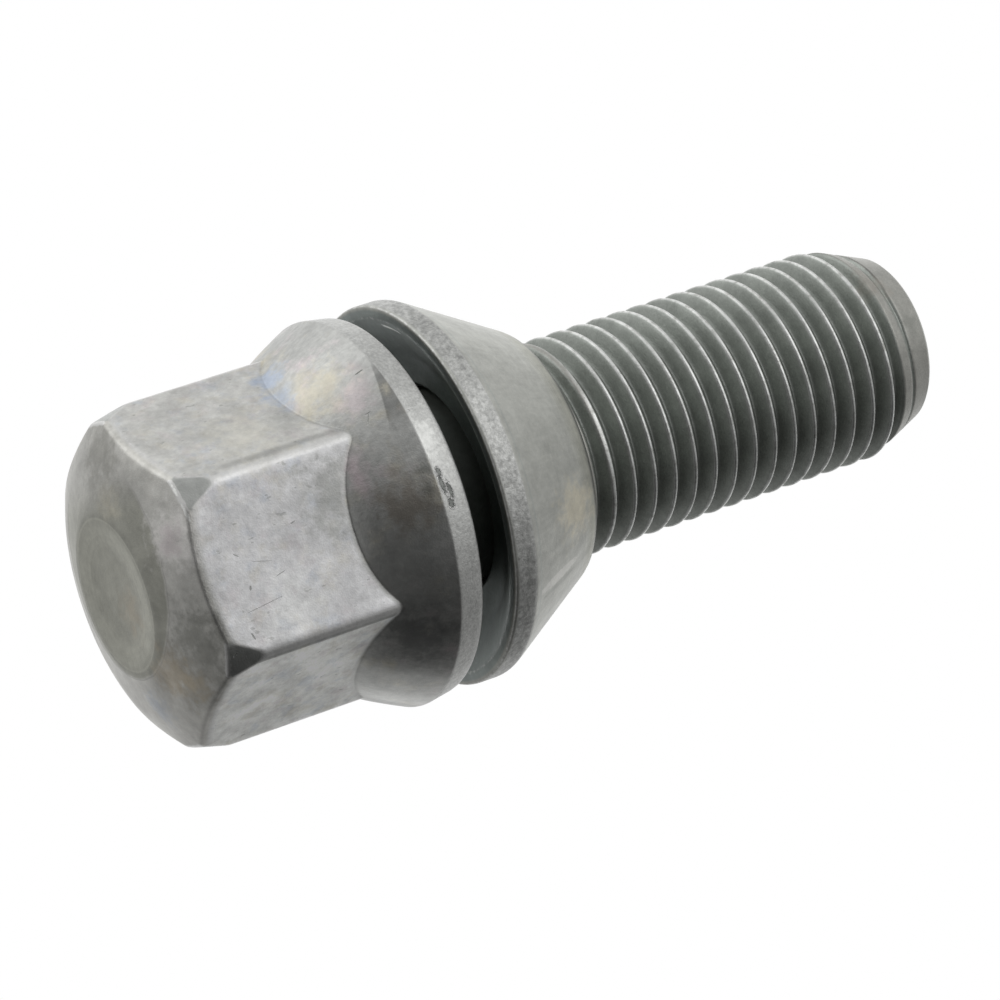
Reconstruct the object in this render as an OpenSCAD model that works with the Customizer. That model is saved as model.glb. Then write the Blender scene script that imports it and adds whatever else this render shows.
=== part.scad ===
/* [Hexagon head] */
// Width across the flats of the hexagon
hex_af = 19; // [17:0.5:21]
// Height of the flats, from the end of the head to where the flare leaves them
hex_h = 11.9; // [10:0.1:14]
// Rounding radius of the six long corners
hex_corner_r = 1; // [0.6:0.1:2]

/* [Crown] */
// How far the crown's outer edge lies outside the flats
crown_edge_over = 0.75; // [0.4:0.05:0.95]
// Width of the crown's steeper outer cone
crown_outer_w = 1.8; // [1:0.1:2.6]
// Width of the crown's flatter inner cone
crown_inner_w = 3.4; // [2:0.1:4.5]
// Height of the edge between the two cones
crown_break_h = 1.05; // [0.6:0.05:1.4]
// Height of the crown's outer edge
crown_edge_h = 2; // [1.6:0.05:2.6]
// Height at which the relief on the corners has run out
corner_relief_h = 4.2; // [3.2:0.1:6]
// Depth of the dish in the end face
end_dish = 0.15; // [0.05:0.05:0.4]
// Width of the flat rim round the dish, on which the bolt stands
end_rim_w = 0.55; // [0.3:0.05:1]

/* [Flange] */
// Outer diameter of the flange
flange_d = 24.8; // [24:0.1:27]
// Height of the flare between the flats and the rim band
flare_h = 4.9; // [4:0.1:6.5]
// Height of the flange's rim band
flange_rim_h = 1.8; // [1.4:0.1:2.4]
// Draft of the rim band, narrower towards the seat
flange_rim_draft = 0.3; // [0:0.05:0.5]
// Rounding of the rim's edge at the seat
flange_edge_r = 0.4; // [0.2:0.05:0.6]
// Height of the flare's shoulder above the flats' end
flare_shoulder_h = 0.85; // [0.5:0.05:1.5]
// How far the shoulder is drawn out past the flats
flare_shoulder_w = 1.1; // [0.7:0.05:1.6]

/* [Neck and thread] */
// Length from the seat under the flange to the tip
shank_len = 37.8; // [34:0.1:45]
// Outer diameter of the thread
thread_d = 14; // [13.9:0.05:14.2]
// Distance from one turn to the next
thread_pitch = 1.5; // [1.25:0.25:1.5]
// Direction in which the groove of the thread starts, measured round the axis from a long corner
thread_start = 170; // [0:5:355]
// Step from the crests of the thread down to the smooth neck
neck_step = 0.7; // [0.6:0.05:0.8]
// Fillet between the flange's seat and the neck
neck_fillet_r = 0.8; // [0.4:0.1:1.1]
// Length of the tapered tip
tip_len = 4; // [3:0.1:5]
// Step from the crests of the thread down to the tip's flat face
tip_step = 1.45; // [1.1:0.05:1.8]
// Rounding of the edge at the tip
tip_edge = 0.35; // [0.2:0.05:0.6]

/* [Seat collar] */
// How far the collar's rim lies inside the flange's rim
collar_inset = 0.15; // [0:0.05:0.6]
// Height of the straight band at the collar's wide end
collar_band_h = 1.5; // [1:0.1:2.2]
// Full angle of the conical seat
seat_angle = 60; // [56:1:64]
// Wall between the bore and the cone at the narrow end
collar_wall = 1.55; // [1.3:0.05:1.9]
// Radial clearance between the collar's bore and the neck
collar_clearance = 0.35; // [0.2:0.05:0.45]
// Free travel of the collar between the flange and the thread
collar_travel = 2.15; // [1:0.05:3]
// Clearance left when the collar's mouth has come up to the thread
collar_stop_gap = 0.15; // [0.1:0.05:0.3]
// Bevel at both mouths of the collar's bore
collar_bore_bevel = 0.3; // [0.2:0.05:0.4]
// Width of the flat ring at the collar's wide end
collar_foot_w = 0.8; // [0.5:0.1:1.5]
// Bevel at the outer edge of that ring
collar_foot_bevel = 0.25; // [0.1:0.05:0.4]
// Depth of the hollow in the collar's wide end
collar_hollow_depth = 1.7; // [0.8:0.1:2.4]
// Width of the hollow's flat floor round the bore
collar_floor_w = 1.85; // [1.2:0.05:2.6]
// Rounding of the cone's edge at the narrow end
collar_edge_r = 0.5; // [0.2:0.05:0.7]

/* [Hidden] */
// Names that end in _rr are radii round the bolt's axis, and names that end in _r are roundings
hex_corner_axis = (hex_af / 2 - hex_corner_r) / cos(30);
hex_corner_rr = hex_corner_axis + hex_corner_r;
crown_edge_rr = hex_af / 2 + crown_edge_over;
crown_break_rr = crown_edge_rr - crown_outer_w;
end_face_rr = crown_break_rr - crown_inner_w;
corner_slope = (hex_corner_rr - crown_edge_rr) / (corner_relief_h - crown_edge_h);
rim_z = hex_h + flare_h;
flange_z = rim_z + flange_rim_h;
flare_root = 0.1;
overlap = 1;
dish_floor_share = 0.5;

thread_rr = thread_d / 2;
neck_rr = thread_rr - neck_step;
tip_rr = thread_rr - tip_step;
bolt_len = flange_z + shank_len;
tip_z = bolt_len - tip_len;
thread_depth_share = 0.6134;
thread_depth = thread_depth_share * thread_pitch;
crest_share = 0.125;
flank = tan(30);
groove_top_w = (1 - crest_share) * thread_pitch;
groove_root_w = groove_top_w - 2 * thread_depth * flank;
groove_overcut = 0.1;
groove_start_share = 0.63;
groove_steps = 24;
run_in_turns = 1;

collar_rr = flange_d / 2 - collar_inset;
collar_bore_rr = neck_rr + collar_clearance;
cone_end_rr = collar_bore_rr + collar_wall;
collar_h = collar_band_h + (collar_rr - cone_end_rr) / tan(seat_angle / 2);
collar_z = flange_z + collar_travel;
collar_top = collar_z + collar_h;
thread_z = collar_top - collar_clearance - collar_bore_bevel + collar_stop_gap;
groove_z0 = thread_z + groove_start_share * neck_step;
groove_z1 = bolt_len - tip_edge;
groove_turns = (groove_z1 - groove_z0) / thread_pitch;

steel = [0.60, 0.61, 0.60];
collar_steel = [0.64, 0.66, 0.65];
$fn = 96;

// Which piece to draw

// Points of an arc in the profile plane, from angle a0 to a1
function arc(x, z, r, a0, a1, steps = 6) =
    [for (i = [0:steps]) let (a = a0 + (a1 - a0) * i / steps) [x + r * cos(a), z + r * sin(a)]];

// Points of a smooth curve from p to q that is drawn towards c
function blend(p, c, q, steps = 12) =
    [for (i = [0:steps]) let (t = i / steps) (1 - t) * (1 - t) * p + 2 * t * (1 - t) * c + t * t * q];

// Point at the distance r from the axis, in the direction a
function polar(r, a) = [r * cos(a), r * sin(a)];

// Round crown of the head: dish, rim, two cones and the relief on the corners
module crown_envelope() {
    rotate_extrude()
        polygon([
            [0, end_dish],
            [dish_floor_share * end_face_rr, end_dish],
            [end_face_rr - end_rim_w, 0],
            [end_face_rr, 0],
            [crown_break_rr, crown_break_h],
            [crown_edge_rr, crown_edge_h],
            [hex_corner_rr, corner_relief_h],
            [hex_corner_rr + (rim_z - corner_relief_h) * corner_slope, rim_z],
            [0, rim_z]
        ]);
}

// Hexagon whose flats meet the rounded long corners without an edge
module hexagon_prism() {
    linear_extrude(rim_z)
        union() {
            polygon([for (i = [0:5], side = [-30, 30])
                polar(hex_corner_axis, 60 * i) + polar(hex_corner_r, 60 * i + side)]);
            for (i = [0:5])
                translate(polar(hex_corner_axis, 60 * i))
                    circle(r = hex_corner_r);
        }
}

// Flare, flange rim, seat, neck, threaded length and tapered tip, before the thread is cut
module turned_body() {
    rim_rr = flange_d / 2;
    seat_rr = rim_rr - flange_rim_draft;
    tip_slope = tip_step / (tip_len - tip_edge);
    rotate_extrude()
        polygon(concat(
            [[0, hex_h - overlap], [hex_af / 2 - overlap, hex_h - overlap]],
            blend(
                [hex_af / 2 - flare_root, hex_h],
                [hex_af / 2 + flare_shoulder_w, hex_h + flare_shoulder_h],
                [rim_rr, rim_z]
            ),
            arc(seat_rr - flange_edge_r, flange_z - flange_edge_r, flange_edge_r, 0, 90, 4),
            arc(neck_rr + neck_fillet_r, flange_z + neck_fillet_r, neck_fillet_r, 270, 180),
            [[neck_rr, thread_z], [thread_rr, thread_z + neck_step]],
            [[thread_rr, tip_z], [tip_rr, bolt_len - tip_edge]],
            [[tip_rr - tip_edge, bolt_len], [0, bolt_len]]
        ));
}

// Section of the thread's groove at step i, in space; at the start it rises out of the steel
function groove_section(i) =
    let (
        turn = i / groove_steps,
        a = thread_start + 360 * turn,
        lift = (thread_depth + groove_overcut) * max(0, 1 - turn / run_in_turns),
        r0 = thread_rr - thread_depth + lift,
        r1 = thread_rr + groove_overcut + lift,
        w0 = groove_root_w / 2,
        w1 = groove_top_w / 2 + groove_overcut * flank,
        z = groove_z0 + turn * thread_pitch
    )
    [for (p = [[r0, -w0], [r1, -w1], [r1, w1], [r0, w0]])
        [p[0] * cos(a), p[0] * sin(a), z + p[1]]];

// Solid that fills the groove of the thread, right-handed
module thread_groove() {
    n = floor(groove_turns * groove_steps);
    points = [for (i = [0:n]) each groove_section(i)];
    sides = [for (i = [0:n - 1], k = [0:3])
        let (a = 4 * i + k, b = 4 * i + (k + 1) % 4, c = b + 4, d = a + 4)
        each [[a, b, d], [b, c, d]]];
    ends = [[3, 2, 1, 0], [4 * n, 4 * n + 1, 4 * n + 2, 4 * n + 3]];
    polyhedron(points, concat(sides, ends), convexity = 20);
}

// One forging: hexagon head, flared flange, neck and rolled thread
module bolt() {
    color(steel)
        difference() {
            union() {
                intersection() {
                    hexagon_prism();
                    crown_envelope();
                }
                turned_body();
            }
            thread_groove();
        }
}

// Loose conical seat, held on the neck between the flange and the thread
module collar() {
    half = seat_angle / 2;
    floor_z = collar_z + collar_hollow_depth;
    edge_rr = cone_end_rr - collar_edge_r * tan(45 - half / 2);
    color(collar_steel)
        rotate_extrude()
            polygon(concat(
                [[collar_bore_rr, floor_z + collar_bore_bevel]],
                [[collar_bore_rr + collar_bore_bevel, floor_z]],
                [[collar_bore_rr + collar_floor_w, floor_z]],
                [[collar_rr - collar_foot_w, collar_z]],
                [[collar_rr - collar_foot_bevel, collar_z], [collar_rr, collar_z + collar_foot_bevel]],
                [[collar_rr, collar_z + collar_band_h]],
                arc(edge_rr, collar_top - collar_edge_r, collar_edge_r, half, 90),
                [[collar_bore_rr + collar_bore_bevel, collar_top]],
                [[collar_bore_rr, collar_top - collar_bore_bevel]]
            ));
}

bolt();
collar();
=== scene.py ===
from functools import partial
from math import atan2, cos, pi, radians, sin, sqrt, tan

import bmesh
import bpy
from mathutils import Euler, Matrix, Vector


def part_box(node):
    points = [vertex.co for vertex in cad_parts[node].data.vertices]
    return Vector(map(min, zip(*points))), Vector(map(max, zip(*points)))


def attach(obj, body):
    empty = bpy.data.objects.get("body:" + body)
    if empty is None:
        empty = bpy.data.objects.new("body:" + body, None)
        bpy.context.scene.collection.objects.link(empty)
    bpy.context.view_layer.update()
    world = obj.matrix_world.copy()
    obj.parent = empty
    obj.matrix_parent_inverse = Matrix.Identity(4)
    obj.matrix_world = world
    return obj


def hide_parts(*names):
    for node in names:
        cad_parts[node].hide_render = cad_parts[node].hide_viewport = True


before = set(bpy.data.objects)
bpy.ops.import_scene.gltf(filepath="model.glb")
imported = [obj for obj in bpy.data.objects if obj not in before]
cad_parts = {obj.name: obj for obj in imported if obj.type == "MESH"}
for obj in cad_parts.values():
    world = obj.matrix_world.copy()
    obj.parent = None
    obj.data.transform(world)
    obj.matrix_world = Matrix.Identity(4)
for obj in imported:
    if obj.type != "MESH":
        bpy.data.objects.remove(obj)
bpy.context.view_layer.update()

# Sizes are in millimetres and are turned into metres when a mesh is made
MM = 0.001
bolt_high = Vector(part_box("bolt")[1]) / MM
collar_low, collar_high = (Vector(corner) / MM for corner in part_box("collar"))

# Hexagon and crown
CORNERS = 6
HALF_SIDE = pi / CORNERS
HEX_AF = 19.0
HEX_CORNER_R = 1.0
HEX_END_Z = 11.9
CROWN_EDGE_R = HEX_AF / 2 + 0.75
CROWN_EDGE_Z = 2.0
CROWN_BREAK_R = CROWN_EDGE_R - 1.8
CROWN_BREAK_Z = 1.05
RELIEF_END_Z = 4.2
RELIEF_LEAST_W = 0.14
DISH_R = CROWN_BREAK_R - 3.4
DISH_DEPTH = 0.15
DISH_RIM = 0.55
HEX_CORNER_AXIS = (HEX_AF / 2 - HEX_CORNER_R) / cos(HALF_SIDE)
HEX_CORNER_FAR = HEX_CORNER_AXIS + HEX_CORNER_R

# Flange, neck and thread
FLANGE_R = bolt_high.x
FLANGE_Z = 18.6
RIM_H = 1.8
RIM_Z = FLANGE_Z - RIM_H
RIM_DRAFT = 0.3
FLARE_SHOULDER_H = 0.85
FLARE_SHOULDER_W = 1.1
FLARE_ROOT = 0.1
THREAD_R = 7.0
NECK_R = THREAD_R - 0.7
PITCH = 1.5
THREAD_DEPTH = 0.6134 * PITCH
CREST_SHARE = 0.125
FLANK_ANGLE = radians(30)
THREAD_START = radians(170)
THREAD_Z = collar_high.z - 0.5
GROOVE_Z = THREAD_Z + 0.63 * (THREAD_R - NECK_R)
BOLT_LEN = bolt_high.z
TIP_LEN = 4.0
TIP_R = THREAD_R - 1.45
TIP_EDGE = 0.35
TIP_Z = BOLT_LEN - TIP_LEN

# Collar
COLLAR_R = collar_high.x
COLLAR_BAND_H = 1.5
COLLAR_BORE_R = NECK_R + 0.35
COLLAR_END_R = COLLAR_BORE_R + 1.55
COLLAR_FLOOR_R = COLLAR_BORE_R + 1.85
COLLAR_FOOT_R = COLLAR_R - 0.8
COLLAR_HOLLOW = 1.7
BORE_BEVEL = 0.3

# Columns of every turned mesh crowd towards the six long corners
COLUMNS = 216
CORNER_CROWDING = 0.5
# Rows crowd towards the ends of each straight piece of a profile, and towards the thread's crests and roots
ROW_CROWDING = 0.6
# Steps of a rounding, the share of a leg that it may take, and how far its wear and painted crease shade
# fall off at its ends
ROUND_STEPS = (0, 0.25, 0.5, 0.75, 1)
ROUND_ROOM = 0.45
WEAR_AND_SHADE_FALL = 0.6
# How bare the crown's round edge is rubbed, and the edge on the corners
CROWN_EDGE_WEAR, CORNER_EDGE_WEAR = 1.45, 0.5
FLARE_ROWS = 14
TIP_LAST_ROW_R = 1.0
MERGE_WITHIN = 0.002

# Rows and turns of the thread's sheet, how soft its crests and roots are in parts of its depth,
# and how many depths the groove is lifted out of the steel at its start
THREAD_ROWS = 16
THREAD_TURNS = 20
CREST_SOFT = 0.06
ROOT_SOFT = 0.4
RUN_IN_LIFT = 1.11


def crowd(share, times, crowding):
    """A share of a turn, drawn towards the points that split it into equal parts."""
    return share - crowding * sin(2 * pi * times * share) / (2 * pi * times)


def column_angles():
    return [2 * pi * crowd(i / COLUMNS, CORNERS, CORNER_CROWDING) for i in range(COLUMNS)]


def hexagon_r(angle):
    """Distance from the axis to the hexagon's side in this direction."""
    off = (angle + HALF_SIDE) % (2 * HALF_SIDE) - HALF_SIDE
    corner_end = atan2(HEX_CORNER_R / 2, HEX_CORNER_AXIS + HEX_CORNER_R * cos(HALF_SIDE))
    if abs(off) > corner_end:
        return HEX_AF / 2 / cos(HALF_SIDE - abs(off))
    across = HEX_CORNER_AXIS * sin(off)
    return HEX_CORNER_AXIS * cos(off) + sqrt(HEX_CORNER_R**2 - across**2)


def crown_z(r):
    """Height of the crown's outer cone at the distance r from the axis."""
    share = (r - CROWN_BREAK_R) / (CROWN_EDGE_R - CROWN_BREAK_R)
    return CROWN_BREAK_Z + share * (CROWN_EDGE_Z - CROWN_BREAK_Z)


def bow(p, c, q, t):
    """Point at t of the curve from p to q that is drawn towards c."""
    return tuple((1 - t) ** 2 * a + 2 * t * (1 - t) * b + t * t * d for a, b, d in zip(p, c, q))


def flare_curve():
    """The three points that draw the flare's profile: its foot, its shoulder and its top."""
    foot = (HEX_AF / 2 - FLARE_ROOT, HEX_END_Z)
    shoulder = (HEX_AF / 2 + FLARE_SHOULDER_W, HEX_END_Z + FLARE_SHOULDER_H)
    top = (FLANGE_R, RIM_Z)
    return foot, shoulder, top


def flare_share(r):
    """How far along the flare its radius is r."""
    foot, shoulder, top = (point[0] for point in flare_curve())
    a = foot - 2 * shoulder + top
    b = 2 * (shoulder - foot)
    return (sqrt(b * b + 4 * a * (r - foot)) - b) / (2 * a)


def knot(r, z, trim=0.0, wear_and_shade=0.0, rows=0, flat=0.0):
    """A corner of a profile: its place, its rounding, its wear (below nought, painted shade in a crease)
    and the rows up to the next one.
    """
    return dict(at=Vector((r, z)), trim=trim, wear_and_shade=wear_and_shade, rows=rows, flat=flat)


def head_knots(angle):
    """Profile of the head in this direction, from the dish in its end to the neck."""
    side = hexagon_r(angle)
    edge_r = min(CROWN_EDGE_R, side - RELIEF_LEAST_W)
    edge_z = crown_z(edge_r)
    relief_rise = (RELIEF_END_Z - CROWN_EDGE_Z) / (HEX_CORNER_FAR - CROWN_EDGE_R)
    worn = CROWN_EDGE_WEAR if edge_r == CROWN_EDGE_R else CORNER_EDGE_WEAR
    start = flare_share(side)
    flare = [bow(*flare_curve(), start + (1 - start) * i / FLARE_ROWS) for i in range(FLARE_ROWS + 1)]
    return [
        knot(DISH_R / 2, DISH_DEPTH, trim=0.9, rows=2),
        knot(DISH_R - DISH_RIM, 0, trim=0.25, rows=1),
        knot(DISH_R, 0, trim=0.25, wear_and_shade=0.45, rows=6),
        knot(CROWN_BREAK_R, CROWN_BREAK_Z, trim=0.5, rows=2),
        knot(edge_r, edge_z, trim=0.2, wear_and_shade=worn, rows=3),
        knot(side, edge_z + relief_rise * (side - edge_r), trim=0.28, wear_and_shade=0.6, rows=12, flat=1),
        # Below nought, the wear here is painted shade in the crease where a flat meets the flare
        knot(*flare[0], trim=0.45, wear_and_shade=-0.3),
        *[knot(*point) for point in flare[1:-1]],
        knot(*flare[-1], trim=0.12, wear_and_shade=0.55, rows=2),
        knot(FLANGE_R - RIM_DRAFT, FLANGE_Z, trim=0.35, wear_and_shade=0.45, rows=4),
        knot(NECK_R, FLANGE_Z, trim=0.9, rows=8),
    ]


def profile_rows(knots, end=None):
    """Rows of (r, z, wear and painted crease shade, flat) along rounded knots, each leg's rows crowded
    towards its ends.
    """
    places = [k["at"] for k in knots] + ([Vector(end)] if end else [])
    trims = []
    for i, k in enumerate(knots):
        room = [(places[i] - places[j]).length for j in (i - 1, i + 1) if 0 <= j < len(places)]
        trims.append(min([k["trim"]] + [ROUND_ROOM * length for length in room]))
    trims.append(0.0)
    rows = []
    for i, k in enumerate(knots):
        here = places[i]
        before = places[i - 1] - here if i else Vector((0, 0))
        after = places[i + 1] - here if i + 1 < len(places) else Vector((0, 0))
        if k["trim"] and i:
            ends = here + before.normalized() * trims[i], here + after.normalized() * trims[i]
            for t in ROUND_STEPS:
                wear_and_shade = k["wear_and_shade"] * (1 - abs(2 * t - 1) * WEAR_AND_SHADE_FALL)
                rows.append((*bow(ends[0], here, ends[1], t), wear_and_shade, t * k["flat"]))
        else:
            rows.append((*here, k["wear_and_shade"], k["flat"]))
        if i + 1 < len(places):
            start = here + after.normalized() * (trims[i] if k["trim"] and i else 0)
            stop = places[i + 1] - after.normalized() * trims[i + 1]
            for n in range(1, k["rows"] + 1):
                t = crowd(n / (k["rows"] + 1), 1, ROW_CROWDING)
                rows.append((*start.lerp(stop, t), 0, k["flat"]))
    if end:
        rows.append((*end, 0, 0))
    return rows


def new_mesh():
    """An empty mesh whose points carry their wear and painted crease shade, how far they are on a flat, and
    the groove's depth.
    """
    mesh = bmesh.new()
    layers = [mesh.verts.layers.float.new(word) for word in ("edge", "flat", "groove")]
    return mesh, layers


def turned(mesh, layers, column_rows, pole_low=None, pole_high=None, closed=False):
    """Skins the columns' rows round the axis, and closes the ends at the poles."""
    angles = column_angles()
    columns = []
    for angle, rows in zip(angles, column_rows):
        column = []
        for r, z, wear_and_shade, flat in rows:
            vert = mesh.verts.new((r * cos(angle) * MM, r * sin(angle) * MM, z * MM))
            vert[layers[0]] = wear_and_shade
            vert[layers[1]] = flat
            column.append(vert)
        columns.append(column)
    low = mesh.verts.new((0, 0, pole_low * MM)) if pole_low is not None else None
    high = mesh.verts.new((0, 0, pole_high * MM)) if pole_high is not None else None
    for i, column in enumerate(columns):
        beside = columns[(i + 1) % COLUMNS]
        last = len(column) if closed else len(column) - 1
        for j in range(last):
            k = (j + 1) % len(column)
            mesh.faces.new((column[j], beside[j], beside[k], column[k]))
        if low:
            mesh.faces.new((low, beside[0], column[0]))
        if high:
            mesh.faces.new((column[-1], beside[-1], high))


def finish_mesh(mesh, name, material, body):
    """The mesh as a piece with one finish, riding on its body."""
    bmesh.ops.remove_doubles(mesh, verts=mesh.verts, dist=MERGE_WITHIN * MM)
    for face in mesh.faces:
        face.material_index = 0
    data = bpy.data.meshes.new(name)
    mesh.to_mesh(data)
    mesh.free()
    data.shade_smooth()
    data.materials.append(material)
    piece = bpy.data.objects.new(name, data)
    bpy.context.collection.objects.link(piece)
    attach(piece, body)
    return piece


def add(tree, kind, inputs=None, **settings):
    """A new node with these settings, its inputs set to values or linked to sockets."""
    made = tree.nodes.new(kind)
    for key, value in settings.items():
        setattr(made, key, value)
    for key, value in (inputs or {}).items():
        feed(tree, made.inputs[key], value)
    return made


def feed(tree, socket, value):
    """Links a socket to another, or sets it to a value; a colour may come with or without its alpha."""
    if isinstance(value, bpy.types.NodeSocket):
        tree.links.new(value, socket)
    elif isinstance(value, tuple):
        socket.default_value = (*value, 1.0)[:len(socket.default_value)]
    else:
        socket.default_value = value


def maths(tree, operation, *values, clamp=False):
    inputs = dict(enumerate(values))
    return add(tree, "ShaderNodeMath", inputs, operation=operation, use_clamp=clamp).outputs[0]


def group_input(tree, **sockets):
    """Named inputs of a node group: a number is an input's first value, a word is its kind of socket."""
    for name, value in sockets.items():
        kind = {int: "NodeSocketInt", float: "NodeSocketFloat"}.get(type(value), value)
        socket = tree.interface.new_socket(name.replace("_", " "), in_out="INPUT", socket_type=kind)
        if kind != value:
            socket.default_value = value
    return {socket.name: socket for socket in tree.nodes.new("NodeGroupInput").outputs}


def crowded(m, share, times, crowding):
    """The same rule as crowd(), for a geometry tree."""
    wave = m("SINE", m("MULTIPLY", share, 2 * pi * times))
    return m("SUBTRACT", share, m("MULTIPLY", wave, crowding / (2 * pi * times)))


def thread_sizes(tree):
    """Sizes of the thread, as named inputs of its tree."""
    return group_input(
        tree,
        Columns=COLUMNS,
        Rows_a_Turn=THREAD_ROWS,
        Turns=THREAD_TURNS,
        Thread_Radius=THREAD_R * MM,
        Neck_Radius=NECK_R * MM,
        Tip_Radius=TIP_R * MM,
        Pitch=PITCH * MM,
        Depth=THREAD_DEPTH * MM,
        Start=THREAD_Z * MM,
        Groove_Start=GROOVE_Z * MM,
        Taper_Start=TIP_Z * MM,
        End=(BOLT_LEN - TIP_EDGE) * MM,
        Finish="NodeSocketMaterial",
    )


def thread_sheet(tree, m, size):
    """A flat sheet, and for its points the angle, the turns round the axis and the turns from a crest."""
    row_count = m("MULTIPLY", size["Turns"], size["Rows a Turn"])
    sheet = add(tree, "GeometryNodeMeshGrid", {
        "Size X": 1.0,
        "Size Y": 1.0,
        "Vertices X": m("ADD", size["Columns"], 1),
        "Vertices Y": m("ADD", row_count, 1),
    })
    flat = add(tree, "ShaderNodeSeparateXYZ", {0: tree.nodes.new("GeometryNodeInputPosition").outputs[0]})
    across, along = (m("ADD", flat.outputs[i], 0.5) for i in (0, 1))
    column = m("DIVIDE", m("ROUND", m("MULTIPLY", across, size["Columns"])), size["Columns"])
    seam = m("ROUND", m("MULTIPLY", size["Columns"], THREAD_START / (2 * pi)))
    column = m("ADD", column, m("DIVIDE", seam, size["Columns"]))
    angle = m("MULTIPLY", crowded(m, column, CORNERS, CORNER_CROWDING), 2 * pi)
    around = m("DIVIDE", m("SUBTRACT", angle, THREAD_START), 2 * pi)
    turn = m("DIVIDE", m("ROUND", m("MULTIPLY", along, row_count)), size["Rows a Turn"])
    crest = m("SUBTRACT", crowded(m, turn, 2, ROW_CROWDING), 1.0)
    return sheet.outputs["Mesh"], angle, around, crest


def blank_radius(m, size, height):
    """Radius of the blank that the thread is rolled on: lead-in cone, cylinder and tapered tip."""
    lead = m("ADD", size["Neck Radius"], m("SUBTRACT", height, size["Start"]))
    step = m("SUBTRACT", size["Thread Radius"], size["Tip Radius"])
    slope = m("DIVIDE", step, m("SUBTRACT", size["End"], size["Taper Start"]))
    taper = m("ADD", size["Tip Radius"], m("MULTIPLY", slope, m("SUBTRACT", size["End"], height)))
    return m("MINIMUM", size["Thread Radius"], m("MINIMUM", lead, taper))


def groove_radius(m, size, around, crest):
    """Radius across one turn: a narrow crest, straight flanks and a round root, lifted out at the start."""
    from_crest = m("PINGPONG", crest, 0.5)
    flank_w = m("DIVIDE", m("MULTIPLY", size["Depth"], tan(FLANK_ANGLE)), size["Pitch"])
    sunk = m("DIVIDE", m("SUBTRACT", from_crest, CREST_SHARE / 2), flank_w)
    sunk = m("SMOOTH_MIN", m("SMOOTH_MAX", sunk, 0.0, CREST_SOFT), 1.0, ROOT_SOFT)
    whole_turns = m("FLOOR", m("ADD", crest, 0.0001))
    run_in = m("SUBTRACT", 1.0, m("ADD", whole_turns, around), clamp=True)
    radius = m("SUBTRACT", size["Thread Radius"], m("MULTIPLY", size["Depth"], sunk))
    return m("ADD", radius, m("MULTIPLY", run_in, m("MULTIPLY", size["Depth"], RUN_IN_LIFT)))


def thread_tree():
    """Skin of the rolled thread: a sheet wound along the helix and pressed to the thread's section."""
    tree = bpy.data.node_groups.new("rolled thread", "GeometryNodeTree")
    m, size = partial(maths, tree), thread_sizes(tree)
    tree.interface.new_socket("Thread", in_out="OUTPUT", socket_type="NodeSocketGeometry")
    sheet, angle, around, crest = thread_sheet(tree, m, size)
    first_crest = m("SUBTRACT", size["Groove Start"], m("MULTIPLY", size["Pitch"], 0.5))
    height = m("MULTIPLY_ADD", m("ADD", crest, around), size["Pitch"], first_crest)
    height = m("MINIMUM", m("MAXIMUM", height, size["Start"]), size["End"])
    blank = blank_radius(m, size, height)
    radius = m("MINIMUM", blank, groove_radius(m, size, around, crest))
    groove = m("DIVIDE", m("SUBTRACT", blank, radius), size["Depth"], clamp=True)
    spot = add(tree, "ShaderNodeCombineXYZ", {
        0: m("MULTIPLY", radius, m("COSINE", angle)),
        1: m("MULTIPLY", radius, m("SINE", angle)),
        2: height,
    })
    kept = add(tree, "GeometryNodeStoreNamedAttribute",
               {"Geometry": sheet, "Name": "groove", "Value": groove}, data_type="FLOAT", domain="POINT")
    wound = add(tree, "GeometryNodeSetPosition", {"Geometry": kept.outputs[0], "Position": spot.outputs[0]})
    real = add(tree, "GeometryNodeRealizeInstances", {0: wound.outputs[0]})
    dressed = add(tree, "GeometryNodeSetMaterial", {0: real.outputs[0], "Material": size["Finish"]})
    add(tree, "NodeGroupOutput", {0: dressed.outputs[0]})
    return tree


def wound_thread(material):
    """The thread as a plain mesh, baked from its geometry tree."""
    tree = thread_tree()
    carrier = bpy.data.objects.new("thread blank", bpy.data.meshes.new("thread blank"))
    bpy.context.collection.objects.link(carrier)
    winding = carrier.modifiers.new("rolled thread", "NODES")
    winding.node_group = tree
    for socket in tree.interface.items_tree:
        if socket.in_out == "INPUT" and socket.name == "Finish":
            winding[socket.identifier] = material
    graph = bpy.context.evaluated_depsgraph_get()
    mesh = bpy.data.meshes.new_from_object(carrier.evaluated_get(graph))
    carrier.modifiers.clear()
    bpy.data.objects.remove(carrier)
    return mesh


def make_bolt(material):
    """Head, flange and neck, the wound thread and the tip, as one closed skin."""
    mesh, layers = new_mesh()
    head = [profile_rows(head_knots(angle), end=(NECK_R, THREAD_Z)) for angle in column_angles()]
    turned(mesh, layers, head, pole_low=DISH_DEPTH)
    tip_edge = [
        knot(TIP_R, BOLT_LEN - TIP_EDGE),
        knot(TIP_R - TIP_EDGE, BOLT_LEN, trim=0.2, wear_and_shade=0.5, rows=3),
    ]
    tip = profile_rows(tip_edge, end=(TIP_LAST_ROW_R, BOLT_LEN))
    turned(mesh, layers, [tip] * COLUMNS, pole_high=BOLT_LEN)
    mesh.from_mesh(wound_thread(material))
    piece = finish_mesh(mesh, "bolt_steel", material, "bolt")
    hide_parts("bolt")


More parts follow.
